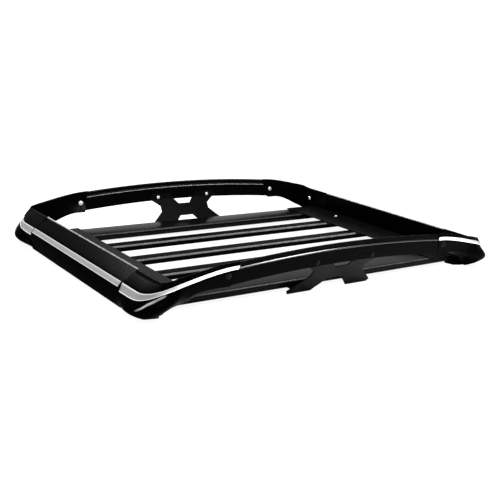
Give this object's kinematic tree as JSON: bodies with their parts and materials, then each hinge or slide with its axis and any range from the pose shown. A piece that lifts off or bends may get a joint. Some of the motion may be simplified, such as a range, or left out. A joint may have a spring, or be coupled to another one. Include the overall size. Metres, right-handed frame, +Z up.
{
  "type": "roof basket",
  "caption": "Black steel roof basket with arched side hoops, sloping end fairings, bright stripes, moulded corners and a slatted floor.",
  "frame": {"origin": "middle of the basket on the level of the brace plates' feet", "axes": "+X along the slats, towards the right end; +Y across them, towards the far hoop; +Z up"},
  "size_m": [1.386, 1.0016, 0.1669],
  "materials": {
    "hoop_steel": "satin powder coat",
    "plate_steel": "satin powder coat",
    "end_steel": "satin powder coat",
    "slat_steel": "satin powder coat",
    "corner_moulding": "satin moulded",
    "bright_stripe": "fine brushed"
  },
  "bodies": {
    "root": {"near_hoop_rail": "hoop_steel", "far_hoop_rail": "hoop_steel", "near_brace_plate": "plate_steel", "far_brace_plate": "plate_steel", "near_left_corner": "corner_moulding", "near_right_corner": "corner_moulding", "far_left_corner": "corner_moulding", "far_right_corner": "corner_moulding", "near_left_stripe": "bright_stripe", "near_right_stripe": "bright_stripe", "far_left_stripe": "bright_stripe", "far_right_stripe": "bright_stripe", "left_end_rail": "end_steel", "right_end_rail": "end_steel", "left_end_stripe": "bright_stripe", "right_end_stripe": "bright_stripe", "left_ledge": "plate_steel", "right_ledge": "plate_steel", "near_floor_rail": "slat_steel", "far_floor_rail": "slat_steel", "near_slat": "slat_steel", "middle_slat": "slat_steel", "far_slat": "slat_steel"}
  },
  "joints": []
}
